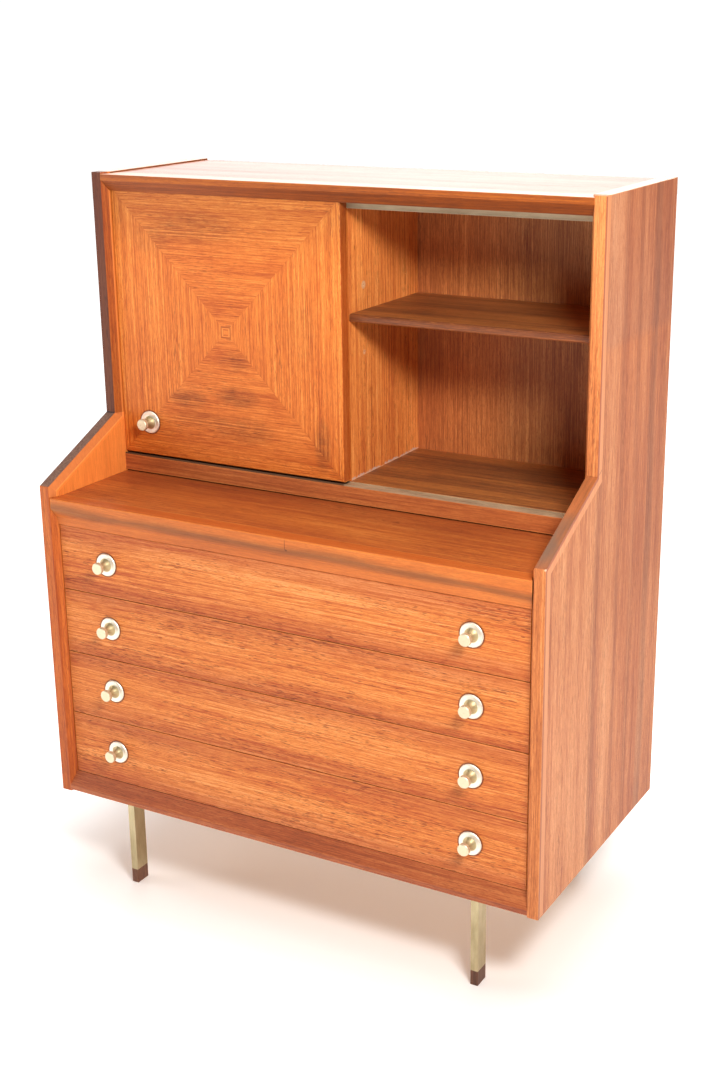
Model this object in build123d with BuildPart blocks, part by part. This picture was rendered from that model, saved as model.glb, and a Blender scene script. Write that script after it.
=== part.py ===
from build123d import *
import os
from math import atan2, cos, sin

# Secretary desk: a teak cabinet on four metal legs. The lower half holds four drawers under a
# pull-out writing leaf, and the set-back upper half holds two shelved compartments behind one
# sliding door. Millimetres, +Z up, the front faces -Y, and the origin is on the floor under the
# middle of the overall box, which reaches from the back to the tips of the drawer knobs.

os.makedirs("parts", exist_ok=True)

# ---- Driving dimensions ----
cabinet_width = 950.0
lower_depth = 503.0
upper_depth = 310.0
leg_clearance = 178.0
side_height = 1095.0
slant_low = 579.0
slant_high = 669.5
side_thickness = 26.0
lipping_depth = 18.0
bevel_width = 7.5
bevel_depth = 13.5
end_reveal = 3.0
board_thickness = 18.0
knob_reach = 27.0
drawer_count = 4
drawer_pitch = 118.25

# ---- Planes and levels that follow from them ----
overall_depth = lower_depth + knob_reach - bevel_depth
back_y = overall_depth / 2
front_y = back_y - lower_depth
upper_front_y = back_y - upper_depth
outer_x = cabinet_width / 2
inner_x = outer_x - side_thickness
flat_x = inner_x + bevel_width
side_bottom_z = leg_clearance
side_top_z = side_bottom_z + side_height
case_bottom_z = side_bottom_z + end_reveal
case_top_z = side_top_z - end_reveal
drawer_face_y = front_y + bevel_depth
upper_face_y = upper_front_y + bevel_depth

# ---- Back, floor and ceiling ----
back_inset = 12.0
upper_back_thickness = 8.0
lower_back_thickness = 5.0
back_face_y = back_y - back_inset - upper_back_thickness
ceiling_z = case_top_z - board_thickness

# ---- Rails ----
top_flat_height = 10.5
top_nose_z = 1241.5
top_rail_depth = 40.0
track_wall = 14.7
bottom_flat_height = 9.0
bottom_rail_height = 34.0
bottom_rail_depth = 45.0
drawer_zone_z = case_bottom_z + bottom_rail_height
drawer_zone_top_z = drawer_zone_z + drawer_count * drawer_pitch

# ---- Writing leaf ----
leaf_rail_height = 49.0
leaf_rail_thickness = 28.0
leaf_thickness = 19.0
leaf_rail_play = 0.5
leaf_top_z = drawer_zone_top_z + leaf_rail_height + leaf_rail_play
leaf_lip_height = 18.5
grip_height = 16.0
grip_depth = 9.5
leaf_foot_setback = 11.5
leaf_side_play = 1.0
leaf_lip_play = 2.5
leaf_back_gap = 30.0
leaf_edge_radius = 2.0
cleat_width = 20.0
cleat_height = 15.0
cleat_front_gap = 4.0
stretcher_setback = 60.0
stretcher_depth = 50.0
stretcher_height = 18.0
stretcher_headroom = 2.0

# ---- Upper cabinet ----
floor_rail_gap = 2.5
floor_rail_height = 29.0
floor_rail_depth = 30.0
floor_thickness = 19.0
floor_z = leaf_top_z + floor_rail_gap + floor_rail_height
divider_thickness = 20.0
divider_setback = 43.0
divider_strip = 4.0
shelf_thickness = 13.0
shelf_top_z = 1056.0
shelf_setback = 46.0
shelf_play = 0.5
shelf_back_gap = 1.0
shelf_edge_radius = 4.0
pin_radius = 2.5
pin_length = 17.0
pin_socket_depth = 8.0
pin_row_pitch = 57.0
pin_front_inset = 214.0
pin_rear_inset = 67.0
pin_front_y = back_y - pin_front_inset
pin_rear_y = back_y - pin_rear_inset

# ---- Sliding door and its tracks ----
door_thickness = 21.5
door_setback = 15.5
door_side_play = 0.5
door_lift = 5.0
door_headroom = 4.0
door_front_y = upper_front_y + door_setback
door_back_y = door_front_y + door_thickness
door_left_x = -inner_x + door_side_play
door_right_x = 14.0
door_bottom_z = floor_z + door_lift
door_top_z = ceiling_z - door_headroom
door_edge_radius = 3.0
track_end_play = 0.5
upper_track_wall = 1.2
upper_track_bottom_z = 1230.0
upper_track_front_play = 0.3
upper_track_rear_play = 1.0
upper_track_bead = 0.5
upper_track_bead_height = 2.0
lower_track_setback = 0.5
lower_track_width = 21.0
lower_track_base = 1.3
lower_track_lip = 1.2
guide_length = 30.0
guide_width = 6.0
guide_play = 0.3
guide_inset = 60.0

# ---- Drawers ----
seam = 1.5
drawer_side_gap = 1.25
drawer_front_thickness = 19.0
drawer_front_chamfer = 0.8
box_length = 430.0
box_wall = 12.0
box_side_play = 3.0
box_outer_x = inner_x - box_side_play
box_rise = 14.0
box_headroom = 12.0
box_back_drop = 6.0
box_edge_radius = 2.0
bottom_thickness = 4.0
bottom_rise = 8.0
groove_depth = 5.0
runner_width = 18.0
runner_height = 12.0
runner_gap = 0.5
runner_front_gap = 3.0
runner_back_gap = 5.0
knob_spread = 350.0

# ---- Knobs ----
knob_disc_radius = 20.25
knob_disc_thickness = 2.6
knob_disc_edge = 0.8
knob_disc_slope = 1.2
knob_dish_width = 1.5
knob_dish_depth = 0.6
knob_hub_radius = 11.5
knob_flare_radius = 6.2
knob_flare_reach = 9.5
knob_neck_radius = 5.0
knob_neck_setback = 3.0
knob_end_radius = 10.2
knob_end_height = 8.0
knob_end_edge = 1.2
knob_end_round = 1.0
knob_end_flat = 2.0
knob_end_dimple = 0.4
stud_radius = 2.0
stud_length = 14.0
door_knob_x = -389.0
door_knob_z = 834.0

# ---- Legs ----
leg_width = 14.0
leg_depth = 30.0
leg_wall = 1.5
leg_corner_radius = 1.0
leg_x = 348.3
leg_front_inset = 50.0
leg_rear_inset = 60.0
leg_front_y = front_y + leg_front_inset
leg_rear_y = back_y - leg_rear_inset
tip_height = 27.5
tip_side_chamfer = 0.8
tip_foot_chamfer = 1.0
spigot_height = 20.0
plate_thickness = end_reveal
plate_width = 70.0
plate_depth = 56.0
plate_corner_radius = 6.0
screw_radius = 2.0
screw_head_radius = 4.0
screw_length = 15.0
screw_spread_x = 26.0
screw_spread_y = 20.0


def keep(piece, name):
    """Labels a finished piece and writes it to its own file."""
    piece.part.label = name
    export_step(piece.part, f"parts/{name}.step")


def keep_group(pieces, name):
    """Writes several separate solids that belong together as one node."""
    group = Compound(label=name, children=[piece.part for piece in pieces])
    export_step(group, f"parts/{name}.step")


def mirrored(piece):
    """The same piece on the other side of the desk."""
    with BuildPart() as other:
        mirror(piece.part, about=Plane.YZ)
    return other


def board(x_range, y_range, z_range):
    """A square-edged board between two X, two Y and two Z limits."""
    with BuildPart() as piece:
        with BuildSketch(Plane.XY.offset(z_range[0])):
            with Locations(((x_range[0] + x_range[1]) / 2, (y_range[0] + y_range[1]) / 2)):
                Rectangle(x_range[1] - x_range[0], y_range[1] - y_range[0])
        extrude(amount=z_range[1] - z_range[0])
    return piece


def extruded_profile(outline, x_range):
    """A bar along X with an outline of (y, z) points."""
    with BuildPart() as piece:
        with BuildSketch(Plane.YZ.offset(x_range[0])):
            with BuildLine():
                Polyline(*outline, close=True)
            make_face()
        extrude(amount=x_range[1] - x_range[0])
    return piece


# ---- Side panels: veneered cores with solid lippings on their front edges ----
slant_angle = atan2(slant_high - slant_low, lower_depth - upper_depth)
slant_low_z = side_bottom_z + slant_low
slant_high_z = side_bottom_z + slant_high
corner_drop = lipping_depth * (1 - sin(slant_angle)) / cos(slant_angle)

front_edge = [
    (front_y, side_bottom_z),
    (front_y, slant_low_z),
    (upper_front_y, slant_high_z),
    (upper_front_y, side_top_z),
]
core_edge = [
    (front_y + lipping_depth, side_bottom_z),
    (front_y + lipping_depth, slant_low_z - corner_drop),
    (upper_front_y + lipping_depth, slant_high_z - corner_drop),
    (upper_front_y + lipping_depth, side_top_z),
]
pin_z = shelf_top_z - shelf_thickness - pin_radius
pin_rows = [pin_z - pin_row_pitch, pin_z, pin_z + pin_row_pitch]
pin_columns = [pin_front_y, pin_rear_y]
pin_sockets = [(y, z) for y in pin_columns for z in pin_rows]

with BuildPart() as side_core:
    with BuildSketch(Plane.YZ.offset(inner_x)):
        with BuildLine():
            Polyline(*core_edge, (back_y, side_top_z), (back_y, side_bottom_z), close=True)
        make_face()
    extrude(amount=side_thickness)
    with BuildSketch(Plane.YZ.offset(inner_x)):
        with Locations(*pin_sockets):
            Circle(pin_radius)
    extrude(amount=pin_socket_depth, mode=Mode.SUBTRACT)
keep(side_core, "side_panel_right")
keep(mirrored(side_core), "side_panel_left")


def lipping(section):
    """One mitred length of the lipping, bevelled along the inner edge of its front."""
    lower_y, lower_z = front_edge[section]
    upper_y, upper_z = front_edge[section + 1]
    across_run = Plane(
        origin=(inner_x, lower_y, lower_z),
        x_dir=(1, 0, 0),
        z_dir=(0, upper_y - lower_y, upper_z - lower_z),
    )
    with BuildPart() as strip:
        with BuildSketch(Plane.YZ.offset(inner_x)):
            with BuildLine():
                Polyline(
                    front_edge[section],
                    front_edge[section + 1],
                    core_edge[section + 1],
                    core_edge[section],
                    close=True,
                )
            make_face()
        extrude(amount=side_thickness)
        with BuildSketch(across_run):
            with BuildLine():
                Polyline((0, 0), (bevel_width, 0), (0, bevel_depth), close=True)
            make_face()
        extrude(amount=side_height, both=True, mode=Mode.SUBTRACT)
    return strip


lippings = [lipping(section) for section in range(3)]
keep_group(lippings, "front_lipping_right")
keep_group([mirrored(strip) for strip in lippings], "front_lipping_left")


# ---- Moulded rails, whose ends follow the bevels of the side panels ----
def moulded_rail(outline, face_y, rear_y, lip_play=0.0, side_play=0.0):
    """A rail with an outline of (y, z) points, cut to fit between the bevelled lippings."""
    flat_end = flat_x - lip_play
    inner_end = inner_x - side_play
    with BuildPart() as rail:
        with BuildSketch(Plane.YZ.offset(-outer_x)):
            with BuildLine():
                Polyline(*outline, close=True)
            make_face()
        extrude(amount=cabinet_width)
        with BuildSketch(Plane.XY):
            with BuildLine():
                Polyline(
                    (-flat_end, face_y),
                    (flat_end, face_y),
                    (inner_end, face_y + bevel_depth),
                    (inner_end, rear_y),
                    (-inner_end, rear_y),
                    (-inner_end, face_y + bevel_depth),
                    close=True,
                )
            make_face()
        extrude(amount=side_top_z, mode=Mode.INTERSECT)
    return rail


top_rail_rear_y = upper_front_y + top_rail_depth
top_rail = moulded_rail(
    [
        (upper_front_y, case_top_z),
        (upper_front_y, case_top_z - top_flat_height),
        (upper_face_y, top_nose_z),
        (upper_front_y + track_wall, top_nose_z),
        (upper_front_y + track_wall, ceiling_z),
        (top_rail_rear_y, ceiling_z),
        (top_rail_rear_y, case_top_z),
    ],
    upper_front_y,
    top_rail_rear_y,
)
keep(top_rail, "top_front_rail")
keep(
    board((-inner_x, inner_x), (top_rail_rear_y, back_y), (ceiling_z, case_top_z)),
    "top_panel",
)

leg_centres = [(x, y) for x in (-leg_x, leg_x) for y in (leg_front_y, leg_rear_y)]
screw_offsets = [
    (x, y) for x in (-screw_spread_x, screw_spread_x) for y in (-screw_spread_y, screw_spread_y)
]
screw_points = [(cx + x, cy + y) for cx, cy in leg_centres for x, y in screw_offsets]

bottom_rail_rear_y = front_y + bottom_rail_depth
bottom_rail = moulded_rail(
    [
        (front_y, case_bottom_z),
        (front_y, case_bottom_z + bottom_flat_height),
        (drawer_face_y, drawer_zone_z),
        (bottom_rail_rear_y, drawer_zone_z),
        (bottom_rail_rear_y, case_bottom_z),
    ],
    front_y,
    bottom_rail_rear_y,
)
bottom_board = board(
    (-inner_x, inner_x),
    (bottom_rail_rear_y, back_y),
    (case_bottom_z, case_bottom_z + board_thickness),
)


def with_pilot_holes(piece):
    """The piece with a blind pilot hole over each leg screw that reaches it."""
    with BuildPart() as drilled:
        add(piece.part)
        with BuildSketch(Plane.XY.offset(case_bottom_z)):
            with Locations(*screw_points):
                Circle(screw_radius)
        extrude(amount=screw_length - plate_thickness, mode=Mode.SUBTRACT)
    return drilled


keep(with_pilot_holes(bottom_rail), "bottom_front_rail")
keep(with_pilot_holes(bottom_board), "bottom_panel")

# ---- Upper cabinet: floor, back, divider, shelves and their pins ----
floor_rail_rear_y = upper_face_y + floor_rail_depth
keep(
    board(
        (-inner_x, inner_x),
        (upper_face_y, floor_rail_rear_y),
        (floor_z - floor_rail_height, floor_z),
    ),
    "cabinet_floor_rail",
)
keep(
    board(
        (-inner_x, inner_x),
        (floor_rail_rear_y, back_face_y),
        (floor_z - floor_thickness, floor_z),
    ),
    "cabinet_floor",
)
keep(
    board(
        (-inner_x, inner_x),
        (back_face_y, back_face_y + upper_back_thickness),
        (floor_z - floor_thickness, ceiling_z),
    ),
    "back_panel_upper",
)
keep(
    board(
        (-inner_x, inner_x),
        (back_y - back_inset - lower_back_thickness, back_y - back_inset),
        (case_bottom_z + board_thickness, floor_z - floor_thickness),
    ),
    "back_panel_lower",
)

divider_x = divider_thickness / 2
divider_front_y = upper_front_y + divider_setback
divider_board = board(
    (-divider_x, divider_x),
    (divider_front_y + divider_strip, back_face_y),
    (floor_z, ceiling_z),
)
with BuildPart() as divider:
    add(divider_board.part)
    for face_x, inward in ((-divider_x, 1), (divider_x, -1)):
        with BuildSketch(Plane.YZ.offset(face_x)):
            with Locations(*pin_sockets):
                Circle(pin_radius)
        extrude(amount=inward * pin_socket_depth, mode=Mode.SUBTRACT)
keep(divider, "centre_divider")
keep(
    board(
        (-divider_x, divider_x),
        (divider_front_y, divider_front_y + divider_strip),
        (floor_z, ceiling_z),
    ),
    "divider_edge_strip",
)

shelf_board = board(
    (divider_x + shelf_play, inner_x - shelf_play),
    (upper_front_y + shelf_setback, back_face_y - shelf_back_gap),
    (shelf_top_z - shelf_thickness, shelf_top_z),
)
with BuildPart() as shelf:
    add(shelf_board.part)
    fillet(shelf.edges().filter_by(Axis.X).group_by(Axis.Y)[0], radius=shelf_edge_radius)
keep(shelf, "shelf_right")
keep(mirrored(shelf), "shelf_left")

pin_starts = [divider_x - pin_socket_depth, inner_x + pin_socket_depth - pin_length]
pin_starts += [-start - pin_length for start in pin_starts]
with BuildPart() as shelf_pins:
    for start_x in pin_starts:
        with BuildSketch(Plane.YZ.offset(start_x)):
            with Locations(*[(y, pin_z) for y in pin_columns]):
                Circle(pin_radius)
        extrude(amount=pin_length)
keep(shelf_pins, "shelf_pins")

# ---- Sliding-door tracks: an angle under the ceiling and a shallow channel on the floor rail ----
track_x = inner_x - track_end_play
track_flange_y = door_front_y - upper_track_front_play
track_web_y = door_back_y + upper_track_rear_play
track_rear_y = track_web_y + upper_track_wall
bead_top_z = upper_track_bottom_z + upper_track_bead_height
upper_track = extruded_profile(
    [
        (track_flange_y, ceiling_z),
        (track_flange_y, ceiling_z - upper_track_wall),
        (track_web_y, ceiling_z - upper_track_wall),
        (track_web_y, bead_top_z),
        (track_web_y - upper_track_bead, bead_top_z),
        (track_web_y - upper_track_bead, upper_track_bottom_z),
        (track_rear_y, upper_track_bottom_z),
        (track_rear_y, ceiling_z),
    ],
    (-track_x, track_x),
)
keep(upper_track, "upper_track")

track_front_y = upper_face_y + lower_track_setback
track_back_y = track_front_y + lower_track_width
track_base_z = floor_z + lower_track_base
track_lip_z = track_base_z + lower_track_lip
lower_track = extruded_profile(
    [
        (track_front_y, floor_z),
        (track_front_y, track_lip_z),
        (track_front_y + lower_track_lip, track_lip_z),
        (track_front_y + lower_track_lip, track_base_z),
        (track_back_y - lower_track_lip, track_base_z),
        (track_back_y - lower_track_lip, track_lip_z),
        (track_back_y, track_lip_z),
        (track_back_y, floor_z),
    ],
    (-track_x, track_x),
)
keep(lower_track, "lower_track")

# ---- Runners, leaf cleats and the stretcher, all inside the lower case ----
runner_front_y = drawer_face_y + drawer_front_thickness + runner_front_gap
runner_rear_y = back_face_y - runner_back_gap
with BuildPart() as runners:
    with BuildSketch(Plane.XZ.offset(-runner_front_y)):
        with Locations(
            *[
                (
                    inner_x - runner_width / 2,
                    drawer_zone_z + i * drawer_pitch + box_rise - runner_gap - runner_height / 2,
                )
                for i in range(drawer_count)
            ]
        ):
            Rectangle(runner_width, runner_height)
    extrude(amount=runner_front_y - runner_rear_y)
keep(runners, "drawer_runners_right")
keep(mirrored(runners), "drawer_runners_left")

leaf_underside_z = leaf_top_z - leaf_thickness
leaf_cleat = board(
    (inner_x - cleat_width, inner_x),
    (front_y + leaf_rail_thickness + cleat_front_gap, runner_rear_y),
    (leaf_underside_z - runner_gap - cleat_height, leaf_underside_z - runner_gap),
)
keep(leaf_cleat, "leaf_cleat_right")
keep(mirrored(leaf_cleat), "leaf_cleat_left")

stretcher_y = front_y + stretcher_setback
stretcher_top_z = leaf_underside_z - runner_gap - stretcher_headroom
keep(
    board(
        (cleat_width - inner_x, inner_x - cleat_width),
        (stretcher_y, stretcher_y + stretcher_depth),
        (stretcher_top_z - stretcher_height, stretcher_top_z),
    ),
    "stretcher",
)

# ---- Legs: rectangular tubes with plates above and wooden tips below ----
leg_names = {
    "front_left": (-leg_x, leg_front_y),
    "front_right": (leg_x, leg_front_y),
    "rear_left": (-leg_x, leg_rear_y),
    "rear_right": (leg_x, leg_rear_y),
}
bore_width = leg_width - 2 * leg_wall
bore_depth = leg_depth - 2 * leg_wall
for leg_name, centre in leg_names.items():
    with BuildPart() as tube:
        with BuildSketch(Plane.XY.offset(tip_height)):
            with Locations(centre):
                RectangleRounded(leg_width, leg_depth, leg_corner_radius)
                Rectangle(bore_width, bore_depth, mode=Mode.SUBTRACT)
        extrude(amount=leg_clearance - tip_height)
    keep(tube, f"leg_{leg_name}")

    with BuildPart() as tip:
        with BuildSketch():
            with Locations(centre):
                Rectangle(leg_width, leg_depth)
        extrude(amount=tip_height)
        chamfer(tip.edges().filter_by(Axis.Z), length=tip_side_chamfer)
        chamfer(tip.edges().group_by(Axis.Z)[0], length=tip_foot_chamfer)
        with BuildSketch(Plane.XY.offset(tip_height)):
            with Locations(centre):
                Rectangle(bore_width, bore_depth)
        extrude(amount=spigot_height)
    keep(tip, f"leg_tip_{leg_name}")

with BuildPart() as plates:
    with BuildSketch(Plane.XY.offset(side_bottom_z)):
        with Locations(*leg_centres):
            RectangleRounded(plate_width, plate_depth, plate_corner_radius)
    extrude(amount=plate_thickness)
    with Locations(*[Location((x, y, side_bottom_z), (180, 0, 0)) for x, y in screw_points]):
        CounterSinkHole(screw_radius, screw_head_radius, depth=plate_thickness)
keep(plates, "leg_plates")

head_height = screw_head_radius - screw_radius
with BuildPart() as screws:
    with Locations(*[Location((x, y, side_bottom_z)) for x, y in screw_points]):
        Cone(
            screw_head_radius,
            screw_radius,
            head_height,
            align=(Align.CENTER, Align.CENTER, Align.MIN),
        )
        Cylinder(screw_radius, screw_length, align=(Align.CENTER, Align.CENTER, Align.MIN))
keep(screws, "leg_screws")


# ---- Knobs: a turned disc, a hub that sweeps in to a neck, and a small round end ----
def knob(x, face_y, z):
    """A knob and its stud, turned about a line along Y from the face at face_y."""
    neck_y = knob_reach - knob_end_height
    with BuildPart() as piece:
        with BuildSketch(Plane(origin=(x, face_y, z), x_dir=(1, 0, 0), z_dir=(0, 0, 1))):
            with BuildLine():
                Polyline(
                    (0, knob_end_dimple - knob_reach),
                    (0, stud_length),
                    (stud_radius, stud_length),
                    (stud_radius, 0),
                    (knob_disc_radius - knob_disc_edge, 0),
                    (knob_disc_radius, -knob_disc_edge),
                    (knob_disc_radius - knob_disc_slope, -knob_disc_thickness),
                    (knob_hub_radius + knob_dish_width, knob_dish_depth - knob_disc_thickness),
                    (knob_hub_radius, -knob_disc_thickness),
                )
                Spline(
                    (knob_hub_radius, -knob_disc_thickness),
                    (knob_flare_radius, -knob_flare_reach),
                    (knob_neck_radius, knob_neck_setback - neck_y),
                )
                Polyline(
                    (knob_neck_radius, knob_neck_setback - neck_y),
                    (knob_end_radius - knob_end_edge, -neck_y),
                    (knob_end_radius, -neck_y - knob_end_edge),
                    (knob_end_radius, knob_end_round - knob_reach),
                    (knob_end_radius - knob_end_round, -knob_reach),
                    (knob_end_flat, -knob_reach),
                    (0, knob_end_dimple - knob_reach),
                )
            make_face()
        revolve(axis=Axis((x, face_y, z), (0, 1, 0)))
    return piece


# ---- Drawers, numbered from the top ----
box_front_y = drawer_face_y + drawer_front_thickness
box_rear_y = box_front_y + box_length
box_inner_x = box_outer_x - box_wall
box_height = drawer_pitch - box_rise - box_headroom
for number in range(1, drawer_count + 1):
    zone_z = drawer_zone_z + (drawer_count - number) * drawer_pitch
    mid_z = zone_z + drawer_pitch / 2
    box_z = zone_z + box_rise
    panel_z = box_z + bottom_rise

    panel_board = board(
        (-box_inner_x - groove_depth, box_inner_x + groove_depth),
        (box_front_y - groove_depth, box_rear_y),
        (panel_z, panel_z + bottom_thickness),
    )
    keep(panel_board, f"drawer_{number}_bottom")

    front_board = board(
        (-inner_x + drawer_side_gap, inner_x - drawer_side_gap),
        (drawer_face_y, box_front_y),
        (zone_z + seam / 2, zone_z + drawer_pitch - seam / 2),
    )
    with BuildPart() as front:
        add(front_board.part)
        chamfer(front.faces().sort_by(Axis.Y)[0].edges(), length=drawer_front_chamfer)
        with BuildSketch(Plane.XZ.offset(-drawer_face_y)):
            with Locations((-knob_spread, mid_z), (knob_spread, mid_z)):
                Circle(stud_radius)
        extrude(amount=-stud_length, mode=Mode.SUBTRACT)
        add(panel_board.part, mode=Mode.SUBTRACT)
    keep(front, f"drawer_{number}_front")

    side_board = board(
        (box_inner_x, box_outer_x),
        (box_front_y, box_rear_y),
        (box_z, box_z + box_height),
    )
    with BuildPart() as box_side:
        add(side_board.part)
        top_edges = box_side.faces().sort_by(Axis.Z)[-1].edges().filter_by(Axis.Y)
        fillet(top_edges, radius=box_edge_radius)
        add(panel_board.part, mode=Mode.SUBTRACT)
    keep_group([box_side, mirrored(box_side)], f"drawer_{number}_sides")

    box_back = board(
        (-box_inner_x, box_inner_x),
        (box_rear_y - box_wall, box_rear_y),
        (panel_z + bottom_thickness, box_z + box_height - box_back_drop),
    )
    keep(box_back, f"drawer_{number}_back")

    drawer_knobs = [knob(x, drawer_face_y, mid_z) for x in (-knob_spread, knob_spread)]
    keep_group(drawer_knobs, f"drawer_{number}_knobs")

# ---- Writing leaf: a board with a moulded front rail that hides its runners ----
leaf_rail_rear_y = front_y + leaf_rail_thickness
leaf_rail_block = moulded_rail(
    [
        (front_y, leaf_top_z),
        (front_y, leaf_top_z - leaf_lip_height),
        (front_y + grip_depth, leaf_top_z - leaf_lip_height - grip_height),
        (front_y + leaf_foot_setback, leaf_top_z - leaf_rail_height),
        (leaf_rail_rear_y, leaf_top_z - leaf_rail_height),
        (leaf_rail_rear_y, leaf_top_z),
    ],
    front_y,
    leaf_rail_rear_y,
    lip_play=leaf_lip_play,
    side_play=leaf_side_play,
)
with BuildPart() as leaf_rail:
    add(leaf_rail_block.part)
    fillet(leaf_rail.edges().filter_by(Axis.X).group_by(Axis.Y)[0], radius=leaf_edge_radius)
keep(leaf_rail, "leaf_front_rail")
keep(
    board(
        (leaf_side_play - inner_x, inner_x - leaf_side_play),
        (leaf_rail_rear_y, back_y - leaf_back_gap),
        (leaf_underside_z, leaf_top_z),
    ),
    "writing_leaf",
)

# ---- Sliding door, its knob and its guides ----
door_board = board(
    (door_left_x, door_right_x),
    (door_front_y, door_back_y),
    (door_bottom_z, door_top_z),
)
with BuildPart() as door:
    add(door_board.part)
    fillet(door.faces().sort_by(Axis.Y)[0].edges(), radius=door_edge_radius)
    with BuildSketch(Plane.XZ.offset(-door_front_y)):
        with Locations((door_knob_x, door_knob_z)):
            Circle(stud_radius)
    extrude(amount=-stud_length, mode=Mode.SUBTRACT)
keep(door, "sliding_door")
keep(knob(door_knob_x, door_front_y, door_knob_z), "door_knob")

guide_y = (door_front_y + door_back_y) / 2
guide_points = [(door_left_x + guide_inset, guide_y), (door_right_x - guide_inset, guide_y)]
with BuildPart() as door_guides:
    for base_z, top_z in (
        (track_base_z + guide_play, door_bottom_z),
        (door_top_z, ceiling_z - upper_track_wall - guide_play),
    ):
        with BuildSketch(Plane.XY.offset(base_z)):
            with Locations(*guide_points):
                Rectangle(guide_length, guide_width)
        extrude(amount=top_z - base_z)
keep(door_guides, "door_guides")
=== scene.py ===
import math

import bmesh
import bpy
from mathutils import Matrix, Vector


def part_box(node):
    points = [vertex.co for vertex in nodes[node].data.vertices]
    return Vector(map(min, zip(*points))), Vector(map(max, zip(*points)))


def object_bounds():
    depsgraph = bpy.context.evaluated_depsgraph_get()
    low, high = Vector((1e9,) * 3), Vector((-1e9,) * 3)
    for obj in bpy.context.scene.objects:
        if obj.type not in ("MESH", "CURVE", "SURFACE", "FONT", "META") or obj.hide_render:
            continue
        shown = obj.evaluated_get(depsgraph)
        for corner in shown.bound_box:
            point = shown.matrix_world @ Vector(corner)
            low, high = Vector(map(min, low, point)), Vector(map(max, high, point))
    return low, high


# The looks of a teak secretary desk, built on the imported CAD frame. Metres, +Z up, front faces -Y.

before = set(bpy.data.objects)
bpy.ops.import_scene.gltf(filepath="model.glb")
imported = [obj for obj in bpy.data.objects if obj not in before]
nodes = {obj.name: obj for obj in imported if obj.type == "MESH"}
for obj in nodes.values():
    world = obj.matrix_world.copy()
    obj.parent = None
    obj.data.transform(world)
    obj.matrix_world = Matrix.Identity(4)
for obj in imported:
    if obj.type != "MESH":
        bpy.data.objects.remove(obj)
cad_low, cad_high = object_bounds()
scene = bpy.context.scene
scene.view_settings.view_transform = "Standard"


# ---------------------------------------------------------------------------------------------
# Shader building
# ---------------------------------------------------------------------------------------------
def srgb(red, green, blue):
    """A colour given in display values from 0 to 255, as linear RGBA."""
    channels = [value / 255 for value in (red, green, blue)]
    return [c / 12.92 if c <= 0.04045 else ((c + 0.055) / 1.055) ** 2.4 for c in channels] + [1.0]


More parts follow.
